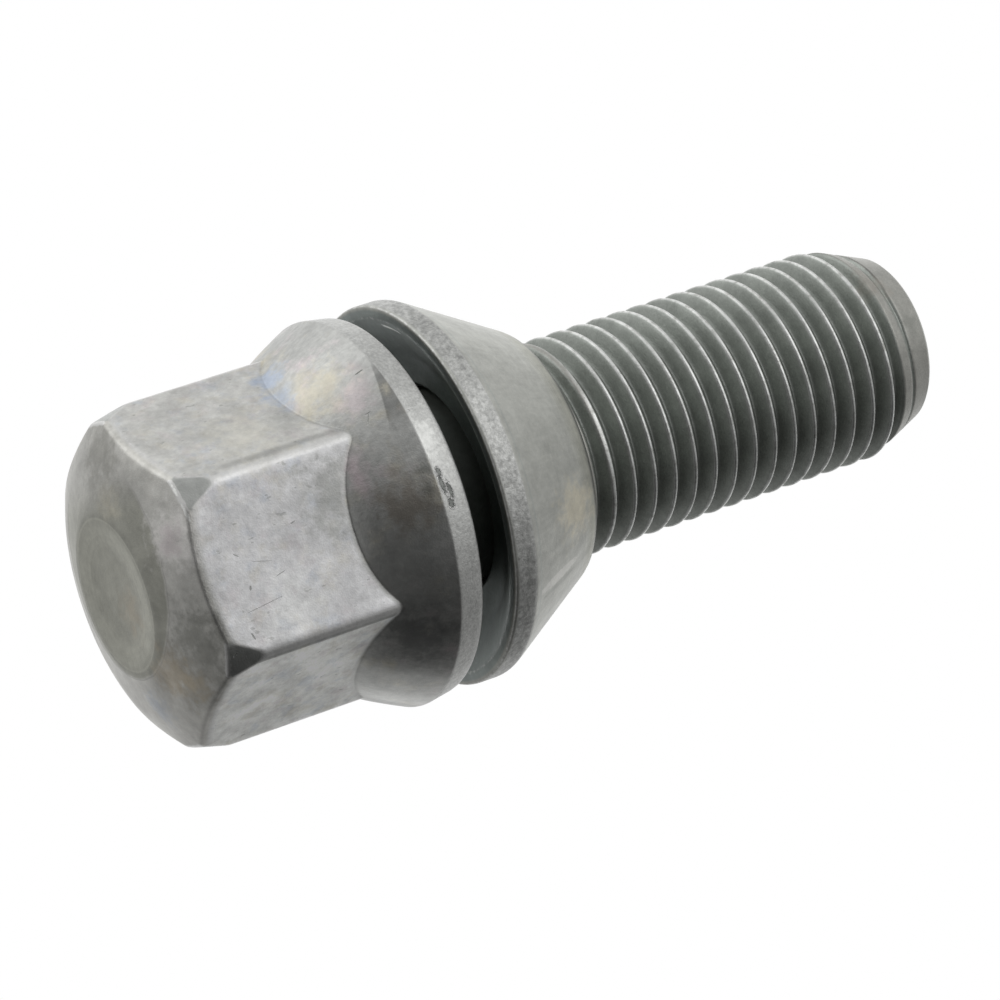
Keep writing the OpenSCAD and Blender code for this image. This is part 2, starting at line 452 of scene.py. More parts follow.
def make_collar(material):
    """The collar as one closed ring, from the floor of its hollow round the outside to its bore."""
    low, high = collar_low.z, collar_high.z
    floor = low + COLLAR_HOLLOW
    rows = profile_rows([
        knot(COLLAR_BORE_R, floor + BORE_BEVEL, rows=1),
        knot(COLLAR_BORE_R + BORE_BEVEL, floor, trim=0.1, wear_and_shade=0.5, rows=2),
        knot(COLLAR_FLOOR_R, floor, trim=0.8, rows=4),
        knot(COLLAR_FOOT_R, low, trim=0.3, wear_and_shade=0.6, rows=1),
        knot(COLLAR_R, low, trim=0.22, wear_and_shade=0.7, rows=3),
        knot(COLLAR_R, low + COLLAR_BAND_H, trim=0.2, wear_and_shade=0.5, rows=12),
        knot(COLLAR_END_R, high, trim=0.6, rows=2),
        knot(COLLAR_BORE_R + BORE_BEVEL, high, trim=0.1, wear_and_shade=0.5, rows=1),
        knot(COLLAR_BORE_R, high - BORE_BEVEL, trim=0.1, wear_and_shade=0.3, rows=6),
    ])
    mesh, layers = new_mesh()
    turned(mesh, layers, [rows] * COLUMNS, closed=True)
    piece = finish_mesh(mesh, "collar_steel", material, "collar")
    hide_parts("collar")


VECTOR = "NodeSocketVector"


def group_tree(name, inputs, outputs):
    """A shader node group: its tree, its maths, its inputs by name and a way to set its outputs."""
    tree = bpy.data.node_groups.new(name, "ShaderNodeTree")
    size = group_input(tree, **inputs)
    for word in outputs:
        tree.interface.new_socket(word, in_out="OUTPUT", socket_type="NodeSocketFloat")
    exit_node = tree.nodes.new("NodeGroupOutput")

    def put(word, value):
        feed(tree, exit_node.inputs[word], value)

    return tree, partial(maths, tree), size, put


def place(tree, group, **values):
    """Puts a node group in a tree, its inputs set by name, and returns its outputs by name."""
    return add(tree, "ShaderNodeGroup", values, node_tree=group).outputs


def noise(tree, spot, scale, detail=2.0, dimensions="3D", rough=0.5):
    where = "W" if dimensions == "1D" else "Vector"
    inputs = {where: spot, "Scale": scale, "Detail": detail, "Roughness": rough}
    return add(tree, "ShaderNodeTexNoise", inputs, noise_dimensions=dimensions).outputs[0]


def ramp(tree, value, low, high, smooth=True):
    """0 below low, 1 above high, and a soft rise between."""
    made = add(tree, "ShaderNodeMapRange", {"Value": value, "From Min": low, "From Max": high},
               interpolation_type="SMOOTHSTEP" if smooth else "LINEAR")
    return made.outputs[0]


def mixed(tree, mask, under, over):
    """The colour over where the mask is 1, and under where it is 0."""
    return add(tree, "ShaderNodeMix", {0: mask, 6: under, 7: over}, data_type="RGBA").outputs[2]


def faded(tree, mask, under, over):
    """The number over where the mask is 1, and under where it is 0."""
    return add(tree, "ShaderNodeMix", {0: mask, 2: under, 3: over}, data_type="FLOAT").outputs[0]


def moved(tree, operation, *values):
    made = add(tree, "ShaderNodeVectorMath", dict(enumerate(values)), operation=operation)
    return made.outputs["Value" if operation in ("LENGTH", "DOT_PRODUCT") else 0]


def scaled(tree, vector, factor):
    return add(tree, "ShaderNodeVectorMath", {0: vector, "Scale": factor}, operation="SCALE").outputs[0]


def mottle_group():
    """Cloudy patches, smaller blotches and fine grain of the tumbled zinc coat."""
    tree, m, size, put = group_tree(
        "mottled coat", dict(Spot=VECTOR, Patch=1.8, Contrast=0.07), ("Shade", "Relief"))
    clouds = [noise(tree, size["Spot"], m("DIVIDE", scale, size["Patch"]), detail, rough=0.62)
              for scale, detail in ((1.0, 5.0), (4.0, 3.0), (14.0, 2.0))]
    swing = 0.0
    for cloud, weight in zip(clouds, (9.5, 3.0, 2.0)):
        swing = m("MULTIPLY_ADD", m("SUBTRACT", cloud, 0.5), weight, swing)
    put("Shade", m("MULTIPLY_ADD", swing, size["Contrast"], 1.0))
    put("Relief", m("SUBTRACT", m("ADD", clouds[1], clouds[2]), 1.0))
    return tree


def specks_group():
    """Sparse dark ticks and pits, longer along the bolt than across it."""
    tree, m, size, put = group_tree("dark specks", dict(Spot=VECTOR, Size=0.4, Amount=0.3), ("Mask",))
    drawn = moved(tree, "MULTIPLY", size["Spot"], (1.0, 1.0, 0.5))
    ticks = noise(tree, drawn, m("DIVIDE", 1.0, size["Size"]), 2.0, rough=0.6)
    least = m("SUBTRACT", 0.8, m("MULTIPLY", size["Amount"], 0.2))
    put("Mask", ramp(tree, ticks, least, m("ADD", least, 0.06)))
    return tree


def patch_group():
    """A soft cloud round a point, torn at its edge."""
    tree, m, size, put = group_tree("soft patch", dict(Spot=VECTOR, Centre=VECTOR, Reach=1.5), ("Mask",))
    away = moved(tree, "LENGTH", moved(tree, "SUBTRACT", size["Spot"], size["Centre"]))
    torn = m("SUBTRACT", noise(tree, size["Spot"], 1.1, 5.0, rough=0.65), 0.5)
    level = m("MULTIPLY_ADD", torn, 2.6, m("DIVIDE", away, size["Reach"]))
    put("Mask", m("SUBTRACT", 1.0, ramp(tree, level, 0.1, 1.1)))
    return tree


def rings_group():
    """Fine rings that a tool leaves on a turned or pressed round face, strong here and faint there."""
    tree, m, size, put = group_tree(
        "tool rings", dict(Spot=VECTOR, Along=0.0, Spacing=0.2, Contrast=0.1), ("Shade",))
    lines = noise(tree, m("DIVIDE", size["Along"], size["Spacing"]), 1.0, 3.0, "1D", 0.7)
    fading = ramp(tree, noise(tree, size["Spot"], 0.22, 2.0), 0.35, 0.65)
    swing = m("MULTIPLY", m("SUBTRACT", lines, 0.5), m("ADD", 0.35, fading))
    put("Shade", m("MULTIPLY_ADD", swing, m("MULTIPLY", size["Contrast"], 4.0), 1.0))
    return tree


def edge_group():
    """Bare bright metal along the corners, worn through the coat in an uneven line."""
    tree, m, size, put = group_tree(
        "worn edge", dict(Spot=VECTOR, Edge=0.0, Breakup=0.5, Reach=0.5), ("Mask",))
    ragged = noise(tree, size["Spot"], m("DIVIDE", 1.0, size["Breakup"]), 4.0, rough=0.65)
    level = m("ADD", size["Edge"], m("MULTIPLY", m("SUBTRACT", ragged, 0.5), 1.1))
    least = m("SUBTRACT", 1.0, size["Reach"])
    put("Mask", ramp(tree, level, least, m("ADD", least, 0.35)))
    return tree


def speckle_group():
    """Coarse grains, as a blasted or cast band shows them."""
    tree, m, size, put = group_tree(
        "coarse speckle", dict(Spot=VECTOR, Size=0.3, Amount=0.5), ("Mask", "Relief"))
    fine = noise(tree, size["Spot"], m("DIVIDE", 1.0, size["Size"]), 3.0, rough=0.75)
    spread = m("MULTIPLY", size["Amount"], 0.25)
    put("Mask", ramp(tree, fine, m("SUBTRACT", 0.5, spread), m("ADD", 0.5, spread)))
    put("Relief", m("SUBTRACT", fine, 0.5))
    return tree


def between_group():
    """1 where a value lies between two limits, with soft ends."""
    tree, m, size, put = group_tree("between", dict(Value=0.0, Low=0.0, High=1.0, Soft=0.1), ("Mask",))
    rise = ramp(tree, size["Value"], size["Low"], m("ADD", size["Low"], size["Soft"]))
    fall = ramp(tree, size["Value"], m("SUBTRACT", size["High"], size["Soft"]), size["High"])
    put("Mask", m("MULTIPLY", rise, m("SUBTRACT", 1.0, fall)))
    return tree


def scar_group():
    """One small scar round a point: its floor, torn by noise, and the lip of metal thrown up round it."""
    tree, m, size, put = group_tree(
        "scar",
        dict(Spot=VECTOR, Centre=VECTOR, Along=VECTOR, Length=1.0, Width=0.2, Torn=1.6, Tear=0.25),
        ("Mask", "Lip"))
    off = moved(tree, "SUBTRACT", size["Spot"], size["Centre"])
    lengthwise = moved(tree, "DOT_PRODUCT", off, size["Along"])
    across = moved(tree, "LENGTH", moved(tree, "SUBTRACT", off, scaled(tree, size["Along"], lengthwise)))
    reach = m("ADD", m("POWER", m("DIVIDE", lengthwise, size["Length"]), 2.0),
              m("POWER", m("DIVIDE", across, size["Width"]), 2.0))
    torn = m("SUBTRACT", noise(tree, size["Spot"], m("DIVIDE", 1.0, size["Tear"]), 4.0, rough=0.7), 0.5)
    level = m("MULTIPLY_ADD", torn, size["Torn"], reach)
    put("Mask", m("SUBTRACT", 1.0, ramp(tree, level, 0.35, 0.75)))
    put("Lip", m("MULTIPLY", ramp(tree, level, 0.6, 0.8), m("SUBTRACT", 1.0, ramp(tree, level, 0.95, 1.3))))
    return tree


class Finish:
    """A steel surface in layers, each with its mask, colour, roughness and relief in millimetres."""

    def __init__(self, name, colour, roughness):
        self.material = bpy.data.materials.new(name)
        self.material.use_nodes = True
        self.tree = self.material.node_tree
        self.m = partial(maths, self.tree)
        self.shader = self.tree.nodes["Principled BSDF"]
        self.shader.inputs["Metallic"].default_value = 1.0
        self.colour, self.roughness, self.relief = colour, roughness, 0.0
        texture = self.tree.nodes.new("ShaderNodeTexCoord")
        self.spot = scaled(self.tree, texture.outputs["Object"], 1 / MM)
        self.x, self.y, self.z = add(self.tree, "ShaderNodeSeparateXYZ", {0: self.spot}).outputs
        self.r = self.m("SQRT", self.m("ADD", self.times(self.x, self.x), self.times(self.y, self.y)))
        self.turn = self.m("ARCTAN2", self.y, self.x)

    def times(self, mask, *others):
        """Where all of these masks meet."""
        for other in others:
            mask = self.m("MULTIPLY", mask, other)
        return mask

    def rest(self, mask):
        """Where this mask isn't."""
        return self.m("SUBTRACT", 1.0, mask)

    def seen_from(self, angle):
        """Distances across and along the direction that points from the axis at this angle."""
        across = self.m("MULTIPLY_ADD", self.x, -sin(angle), self.m("MULTIPLY", self.y, cos(angle)))
        along = self.m("MULTIPLY_ADD", self.x, cos(angle), self.m("MULTIPLY", self.y, sin(angle)))
        return across, along

    def attribute(self, name):
        return add(self.tree, "ShaderNodeAttribute", attribute_name=name).outputs["Fac"]

    def noise(self, scale, detail, rough=0.5, shift=None, stretch=None):
        """Noise over the surface, its pattern shifted or drawn out."""
        spot = self.spot
        if shift:
            spot = moved(self.tree, "ADD", spot, shift)
        if stretch:
            spot = moved(self.tree, "MULTIPLY", spot, stretch)
        return noise(self.tree, spot, scale, detail, rough=rough)

    def ramp(self, value, low, high, smooth=True):
        return ramp(self.tree, value, low, high, smooth)

    def between(self, value, low, high, soft=0.1):
        return place(self.tree, GROUPS["between"], Value=value, Low=low, High=high, Soft=soft)["Mask"]

    def within(self, heights, radii):
        """Where both the height and the distance from the axis lie between their limits."""
        return self.times(self.between(self.z, *heights), self.between(self.r, *radii))

    def use(self, group, **values):
        return place(self.tree, GROUPS[group], Spot=self.spot, **values)

    def scar(self, centre, along, length, width, **values):
        return self.use("scar", Centre=centre, Along=Vector(along).normalized(), Length=length, Width=width,
                        **values)

    def lay(self, mask, colour=None, roughness=None, relief=None):
        """Covers the surface with a layer where its mask is 1."""
        if colour is not None:
            self.colour = mixed(self.tree, mask, self.colour, colour)
        if roughness is not None:
            self.roughness = faded(self.tree, mask, self.roughness, roughness)
        if relief is not None:
            self.relief = self.m("ADD", self.relief, self.m("MULTIPLY", mask, relief))

    def shade(self, mask, factor):
        """Darkens or lightens the surface by a factor where the mask is 1."""
        self.colour = scaled(self.tree, self.colour, faded(self.tree, mask, 1.0, factor))

    def vary(self, mask, share, low, high):
        """Shades the surface by a factor that goes from low to high as the share goes from 0 to 1."""
        self.shade(mask, faded(self.tree, share, low, high))

    def rings(self, mask, along, spacing, contrast):
        """Fine rings of a tool, at this spacing along a value."""
        rings = self.use("tool rings", Along=along, Spacing=spacing, Contrast=contrast)
        self.shade(mask, rings["Shade"])

    def grains(self, mask, size, amount, low, high, relief):
        """Coarse grains, shaded from low to high and raised."""
        grains = self.use("coarse speckle", Size=size, Amount=amount)
        self.vary(mask, grains["Mask"], low, high)
        self.lay(mask, relief=self.times(grains["Relief"], relief))

    def clouds(self, places, within=1.0):
        """Soft patches of another colour at these places, kept to where the mask within is 1."""
        for centre, reach, colour, strength in places.values():
            cloud = self.use("soft patch", Centre=centre, Reach=reach)["Mask"]
            self.lay(self.times(cloud, within, strength), colour)

    def done(self):
        feed(self.tree, self.shader.inputs["Base Color"], self.colour)
        feed(self.tree, self.shader.inputs["Roughness"], self.roughness)
        bump = add(self.tree, "ShaderNodeBump", {"Height": self.relief, "Distance": MM, "Strength": 1.0})
        feed(self.tree, self.shader.inputs["Normal"], bump.outputs[0])
        return self.material


# Colours of the steel's finishes, as the share of light that each sends back
COAT = (0.47, 0.475, 0.46)
FLAT_COAT = (0.705, 0.705, 0.71)
CROWN_COAT = (0.58, 0.575, 0.545)
PUNCHED_COAT = (0.41, 0.41, 0.365)
RELIEF_COAT = (0.42, 0.43, 0.415)
DISC_COAT = (0.45, 0.45, 0.395)
RIM_COAT = (0.53, 0.535, 0.52)
COLLAR_COAT = (0.45, 0.456, 0.427)
BARE_AND_HIGHLIGHT = (0.70, 0.70, 0.69)
CREST_BARE_AND_HIGHLIGHT = (0.74, 0.75, 0.735)
DEEP = (0.20, 0.21, 0.19)
TIP_COAT = (0.355, 0.355, 0.33)
THREAD_FLANK = (0.35, 0.37, 0.345)
NECK_SHADE = (0.27, 0.285, 0.265)
BLUE = (0.44, 0.50, 0.60)
STRAW = (0.60, 0.565, 0.46)
FLAT_STRAW = (0.655, 0.645, 0.59)
ROSE = (0.60, 0.53, 0.545)
BROWN = (0.36, 0.33, 0.29)
PALE = (0.95, 0.96, 0.93)
WARM_GREY = (0.585, 0.585, 0.56)
CROWN_PALE = (0.80, 0.785, 0.76)
CROWN_SHADE = (0.41, 0.405, 0.375)
CROWN_DEEP_SHADE = (0.35, 0.35, 0.325)
PIT_AND_SHADE = (0.18, 0.19, 0.18)
HOLLOW_RIM_SHADE = (0.34, 0.375, 0.365)
HOLLOW_FLOOR_SHADE = (0.14, 0.16, 0.155)
MOUTH_SHADE = (0.2, 0.205, 0.19)
OLIVE = (0.35, 0.35, 0.29)
STRAW_BROWN = (0.52, 0.46, 0.36)
FLARE_SHADE = (0.355, 0.36, 0.35)
FLARE_DEEP_SHADE = (0.30, 0.305, 0.30)

# The punch that closed the head stood a little off the axis, and its print has a thin dark edge
PUNCH_CENTRE = (1.49, 0.03)
PUNCH_R = 6.87

# Heat tints and other clouds that the photograph shows: centre, reach in millimetres, colour, strength
BOLT_CLOUDS = {
    "blue at the hexagon's end": ((9.7, 2.5, 12.5), 1.5, BLUE, 0.85),
    "blue down the hexagon's end": ((8.7, 4.5, 12.15), 1.1, BLUE, 0.7),
    "blue's lower end": ((7.9, 5.6, 12.0), 0.7, BLUE, 0.5),
    "brown on the tip": ((3.9, 5.0, 53.7), 1.6, BROWN, 0.5),
    "dark on the tip": ((0.8, 5.6, 55.2), 1.1, DEEP, 0.35),
}
FLARE_CLOUDS = {
    "straw": ((8.4, 6.6, 13.3), 2.6, STRAW, 0.7),
    "rose": ((7.4, 8.8, 14.9), 1.6, ROSE, 0.6),
    "straw beside the rim": ((7.5, 9.7, 16.6), 0.7, STRAW, 0.7),
    # Painted shade on the flare's lower half, where less light falls
    "painted shade on the lower half": ((-3.5, 10.6, 14.6), 5.0, FLARE_SHADE, 0.8),
    "painted shade above the foot": ((-7.4, 8.5, 14.7), 2.6, FLARE_DEEP_SHADE, 0.9),
    "brown": ((0.6, 11.5, 15.0), 2.3, BROWN, 0.8),
    "dark streak beside the rim": ((2.3, 11.93, 16.45), 0.6, DEEP, 0.6),
    "dark streak's lower end": ((1.0, 12.0, 16.25), 0.6, DEEP, 0.5),
}
FLAT_CLOUDS = {
    "straw on the upper flat": ((7.0, 6.7, 8.0), 3.4, FLAT_STRAW, 0.7),
    # Painted shade at the flats' ends, beside the flare
    "painted shade at the upper flat's end": ((6.7, 6.4, 11.0), 1.7, COAT, 0.7),
    "painted shade at the front flat's end": ((2.2, 9.5, 11.6), 3.2, COAT, 0.9),
    "pale foot of the front flat": ((-3.2, 9.5, 6.5), 2.6, PALE, 0.3),
}
# Painted light on the lower flat and painted shade on the upper flat, by which way they face: direction in
# degrees, colour and strength
FLAT_SIDE_LIGHT = {
    "painted shade on the upper flat": (30, WARM_GREY, 0.85),
    "painted light on the lower flat": (150, PALE, 0.85),
}
# The rim's cloud is a painted highlight beside the flare
RIM_CLOUDS = {
    "painted highlight beside the flare": ((4.0, 11.65, 16.85), 1.7, PALE, 0.5),
}
# On the crown, the pale cloud beside the corner is painted light and the shade clouds are painted shade;
# the rest are tints
CROWN_CLOUDS = {
    "painted light beside the corner": ((2.7, 8.4, 1.3), 2.7, CROWN_PALE, 1.0),
    "painted shade on the shoulder": ((7.6, 6.2, 2.1), 2.4, CROWN_SHADE, 0.45),
    "rose": ((2.7, 8.0, 1.1), 1.3, ROSE, 0.5),
    "straw": ((5.6, 2.2, 0.6), 1.6, STRAW, 0.5),
    "painted shade on the top": ((8.6, 1.2, 1.2), 3.2, CROWN_SHADE, 0.9),
    "painted shade at the foot": ((-3.8, 7.8, 1.2), 3.6, CROWN_DEEP_SHADE, 1.0),
    "painted shade on the lower side": ((-6.0, 5.8, 1.1), 3.0, CROWN_SHADE, 0.8),
    "straw above the foot": ((-6.2, 5.9, 1.1), 1.4, STRAW_BROWN, 0.5),
    "brown": ((-5.2, 4.0, 0.6), 2.4, STRAW_BROWN, 0.7),
    "pale spot": ((-7.2, -0.2, 0.7), 1.6, BLUE, 0.45),
}
DISC_CLOUDS = {
    "brown middle": ((-1.2, 1.4, 0.15), 1.9, STRAW_BROWN, 0.5),
}
COLLAR_CLOUDS = {
    "warm patch on the cone": ((-3.2, 9.0, 26.8), 2.4, STRAW, 0.85),
}

# Long streaks down the cone: centre, half length and half width in millimetres, colour and strength
COLLAR_STREAKS = {
    "pale": ((-6.75, 8.35, 24.8), 3.2, 0.5, CROWN_PALE, 0.35),
    "dark": ((-7.25, 7.95, 24.8), 2.8, 0.28, DEEP, 0.3),
}
COLLAR_STREAK_ALONG = (0.25, -0.44, 0.86)

# Scratches that the photograph shows: centre, direction, half length, half width, and how dark
SCRATCHES = {
    "on the flare": ((6.3, 9.65, 14.95), (0.16, 0.25, 0.95), 0.75, 0.05, 0.5),
    "near the flare's top": ((8.72, 8.19, 15.84), (0.25, 0.25, 0.93), 0.42, 0.06, 0.8),
    "round the flare": ((6.0, 9.75, 14.85), (-0.86, 0.28, -0.42), 0.6, 0.05, 0.6),
    "at the rim": ((5.9, 10.8, 16.9), (-0.5, 0.5, 0.7), 0.4, 0.05, 0.6),
    "on the corner": ((-4.84, 9.16, 2.5), (0.6, 0.2, 0.7), 0.45, 0.07, 0.6),
    "on the flat": ((-0.1, 9.5, 5.7), (-0.25, 0.0, 0.97), 0.9, 0.03, 0.3),
    "tick near the crown": ((0.73, 9.5, 4.16), (-0.6, 0.0, 0.8), 0.24, 0.05, 0.6),
    "nick near the crown": ((-1.4, 9.5, 4.48), (0.8, 0.0, 0.3), 0.2, 0.08, 0.6),
    "fine line on the flat": ((-1.13, 9.5, 6.6), (0.25, 0.0, 0.97), 0.5, 0.035, 0.4),
    "tick by the flare": ((1.51, 9.5, 8.29), (0.3, 0.0, 0.95), 0.22, 0.05, 0.5),
    "line low on the flat": ((-2.6, 9.5, 5.0), (0.12, 0.0, 0.99), 1.6, 0.035, 0.35),
    "nick at the lower corner": ((-4.15, 9.5, 3.77), (-0.9, 0.0, 0.3), 0.3, 0.08, 0.6),
}
# Places rubbed or knocked bright: centre, direction, half length, half width, and how bright
BRIGHT_PLACES = {
    "upper burr on the crown's edge": ((5.45, 8.55, 2.05), (-0.843, 0.537, 0.0), 0.8, 0.14, 0.9),
    "lower burr on the crown's edge": ((3.9, 9.32, 2.02), (-0.92, 0.39, 0.0), 1.0, 0.15, 0.9),
}
# Torn nicks in a row on the rim: centre, half length and half width in millimetres
RIM_NICKS = {
    "upper": ((1.85, 12.23, 17.12), 0.34, 0.22),
    "long": ((1.05, 12.3, 17.08), 0.7, 0.2),
    "outer": ((0.6, 12.32, 17.5), 0.6, 0.2),
    "lower": ((-0.15, 12.35, 17.3), 0.4, 0.25),
}
NICK_ALONG = (-1.0, 0.05, 0.1)
# The side of the flare under the lower flat, lightened with painted light from below
LIT_FOOT_FROM, LIT_FOOT_TO = radians(144), radians(179)
# A wedge of painted shade between the flare and the rim, widest at its lower end
WEDGE_SHADE_FROM, WEDGE_SHADE_TO = radians(39), radians(58)
WEDGE_SHADE_WIDTH = 0.95
# The flat with a painted dark reflection stripe beside its corner, and the corner with a painted dark and
# light reflection line
SHADE_STRIPE_FLAT, REFLECTION_LINE_CORNER = radians(30), radians(120)
# A line of painted shade round the tip where a groove ends, and the ring of painted light in the end face
TIP_GROOVE_SHADE_FROM, TIP_GROOVE_SHADE_TO = BOLT_LEN - 1.95, BOLT_LEN - 1.72
DISC_LIGHT_FROM, DISC_LIGHT_TO = 2.6, 4.9
# A shine on the hollow's slope, seen through the gap: its centre and its two radii
SHINE_CENTRE = (10.5, 3.3, 21.0)
SHINE_FROM, SHINE_TO = 10.92, 11.16
# Faint tints of the tumbled flats: how each pattern is shifted, and its colour
FLAT_TINTS = (((5.0, 0.0, 9.0), BLUE), ((0.0, 17.0, 2.0), ROSE), ((8.0, 3.0, 40.0), STRAW))
# Levels of noise between which a surface goes from dull to bright
PATCHY = (0.3, 0.7)


def bolt_finish():
    steel = Finish("bolt steel", COAT, 0.4)
    edge, flat, groove = (steel.attribute(name) for name in ("edge", "flat", "groove"))
    flare_layers(steel, flat)
    crown_layers(steel, flat)
    disc_layers(steel)
    flat_layers(steel, flat)
    corner_layers(steel, flat)
    rim_layers(steel)
    thread_layers(steel, groove)
    steel.clouds(BOLT_CLOUDS)
    coat_layers(steel, edge, 0.055)
    scar_layers(steel)
    return steel.done()


def flare_layers(steel, flat):
    """Pressed flare: satin, with faint heat tints that end at the rim band, painted shade on its lower half
    and in a wedge by the rim, and painted light on the side under the lower flat.
    """
    flare = steel.times(steel.between(steel.z, HEX_END_Z - 1, RIM_Z + 0.05), steel.rest(flat))
    straw, rose = steel.noise(0.4, 4.0, 0.6), steel.noise(0.4, 4.0, 0.6, shift=(31.0, 7.0, 3.0))
    steel.lay(steel.times(flare, steel.ramp(straw, 0.5, 0.8)), STRAW)
    steel.lay(steel.times(flare, steel.ramp(rose, 0.52, 0.8)), ROSE)
    steel.rings(flare, steel.z, 0.35, 0.035)
    fibres = steel.noise(1.3, 5.0, 0.7, stretch=(2.2, 2.2, 0.7))
    steel.vary(flare, steel.ramp(fibres, *PATCHY), 0.9, 1.1)
    # Painted shade in the wedge between the flare and the rim
    share = steel.m("DIVIDE", steel.m("SUBTRACT", steel.turn, WEDGE_SHADE_FROM), WEDGE_SHADE_TO - WEDGE_SHADE_FROM)
    below_rim = steel.m("SUBTRACT", RIM_Z, steel.z)
    painted_shade_band = steel.ramp(steel.m("SUBTRACT", steel.m("MULTIPLY", share, WEDGE_SHADE_WIDTH), below_rim), 0.0, 0.12)
    steel.shade(steel.times(flare, painted_shade_band, steel.between(share, 0.0, 1.5, 0.5)), 0.55)
    steel.clouds(FLARE_CLOUDS, flare)
    # Painted light on the side of the flare under the lower flat, where light from below falls
    foot = steel.between(steel.turn, LIT_FOOT_FROM, LIT_FOOT_TO, radians(8))
    steel.lay(steel.times(flare, foot, 0.5), PALE)


def crown_layers(steel, flat):
    """Crown: the punch's print is darker, the ring round it lighter, the corners' relief plain, and painted
    light and shade by which way it faces.
    """
    crown = steel.times(steel.between(steel.z, -1.0, RELIEF_END_Z + 0.3), steel.rest(flat))
    steel.lay(crown, CROWN_COAT, 0.4)
    off_x = steel.m("SUBTRACT", steel.x, PUNCH_CENTRE[0])
    off_y = steel.m("SUBTRACT", steel.y, PUNCH_CENTRE[1])
    away = steel.m("SQRT", steel.m("ADD", steel.times(off_x, off_x), steel.times(off_y, off_y)))
    wobble = steel.m("SUBTRACT", steel.noise(0.8, 3.0), 0.5)
    away = steel.m("MULTIPLY_ADD", wobble, 0.3, away)
    clear = steel.rest(steel.ramp(steel.x, 4.5, 7.5))
    printed = steel.rest(steel.ramp(away, PUNCH_R - 0.25, PUNCH_R))
    steel.lay(steel.times(crown, printed, clear), PUNCHED_COAT, 0.42, relief=-0.02)
    print_edge = steel.between(away, PUNCH_R - 0.1, PUNCH_R + 0.06, 0.08)
    steel.shade(steel.times(crown, print_edge, clear), 0.8)
    steel.clouds(CROWN_CLOUDS, crown)
    relief = steel.ramp(steel.r, CROWN_EDGE_R, CROWN_EDGE_R + 0.06)
    steel.lay(steel.times(crown, relief), RELIEF_COAT, 0.4)
    blotches = steel.noise(0.45, 4.0, 0.6)
    steel.vary(crown, steel.ramp(blotches, *PATCHY), 0.88, 1.1)


def disc_layers(steel):
    """Dished end face: warm grey, with a broad ring of painted light where the dish slopes, soft tool
    rings, and a painted highlight along its rim.
    """
    disc = steel.within((-1.0, 0.4), (-1.0, DISH_R - 0.1, 0.12))
    steel.lay(disc, DISC_COAT, 0.4)
    uneven = steel.m("MULTIPLY", steel.m("SUBTRACT", steel.noise(0.35, 3.0), 0.5), 2.0)
    # Painted light: a broad lighter ring where the dish slopes
    ring = steel.between(steel.m("ADD", steel.r, uneven), DISC_LIGHT_FROM, DISC_LIGHT_TO, 0.8)
    steel.shade(steel.times(disc, ring), 1.12)
    wavy_r = steel.m("MULTIPLY_ADD", uneven, 0.25, steel.r)
    steel.rings(disc, wavy_r, 0.9, 0.08)
    steel.clouds(DISC_CLOUDS, disc)
    # Painted highlight along the dish's rim
    rim_highlight = steel.between(steel.r, DISH_R - 0.35, DISH_R - 0.05, 0.12)
    steel.shade(steel.times(disc, rim_highlight), 1.12)


def flat_layers(steel, flat):
    """Flats: the lightest coat, tumbled and cloudy, faintly tinted, with dark ticks; the lower flat gets
    painted light, the upper flat painted shade, and the flats' ends by the flare painted shade.
    """
    steel.lay(flat, FLAT_COAT, 0.56)
    # Painted light and shade on two flats, by which way they face
    for angle, colour, strength in FLAT_SIDE_LIGHT.values():
        facing = steel.seen_from(radians(angle))[1]
        on_flat = steel.ramp(facing, HEX_AF / 2 - 0.3, HEX_AF / 2 - 0.1)
        steel.lay(steel.times(flat, on_flat, strength), colour)
    for shift, colour in FLAT_TINTS:
        hue = steel.noise(0.7, 4.0, 0.6, shift=shift)
        steel.lay(steel.times(flat, steel.ramp(hue, 0.5, 0.72), 0.3), colour)
    steel.shade(flat, steel.use("mottled coat", Patch=3.4, Contrast=0.07)["Shade"])
    ticks = steel.use("dark specks", Size=0.42, Amount=0.6)["Mask"]
    steel.lay(steel.times(flat, ticks, 0.35), DEEP, 0.5, relief=-0.01)
    steel.clouds(FLAT_CLOUDS, flat)


def corner_layers(steel, flat):
    """Painted dark reflection stripe beside one corner, painted light and dark reflection lines at another,
    and corners rubbed bare and lightened as a painted highlight.
    """
    past_relief = steel.ramp(steel.z, RELIEF_END_Z, RELIEF_END_Z + 1.5)
    # Painted shade: a dark reflection stripe on the upper flat beside its corner
    across, facing = steel.seen_from(SHADE_STRIPE_FLAT)
    painted_shade_band = steel.times(steel.between(across, 4.2, 5.2, 0.45),
                      steel.ramp(facing, HEX_AF / 2 - 0.35, HEX_AF / 2 - 0.15))
    steel.shade(steel.times(flat, painted_shade_band, past_relief), 0.72)
    # Painted reflection at another corner: a dark line on one side and a light one on the other
    across, facing = steel.seen_from(REFLECTION_LINE_CORNER)
    near_corner = steel.times(flat, steel.ramp(facing, HEX_CORNER_FAR - 0.9, HEX_CORNER_FAR - 0.5))
    steel.shade(steel.times(near_corner, steel.between(across, -0.2, 0.62, 0.2)), 0.5)
    steel.shade(steel.times(near_corner, steel.between(across, -1.1, -0.15, 0.3)), 1.1)
    # Corners rubbed bare, lightened further as a painted highlight along the rounding
    rubbed = steel.ramp(steel.r, HEX_CORNER_FAR - 0.06, HEX_CORNER_FAR - 0.01)
    steel.lay(steel.times(flat, rubbed, 0.7), BARE_AND_HIGHLIGHT, 0.4)


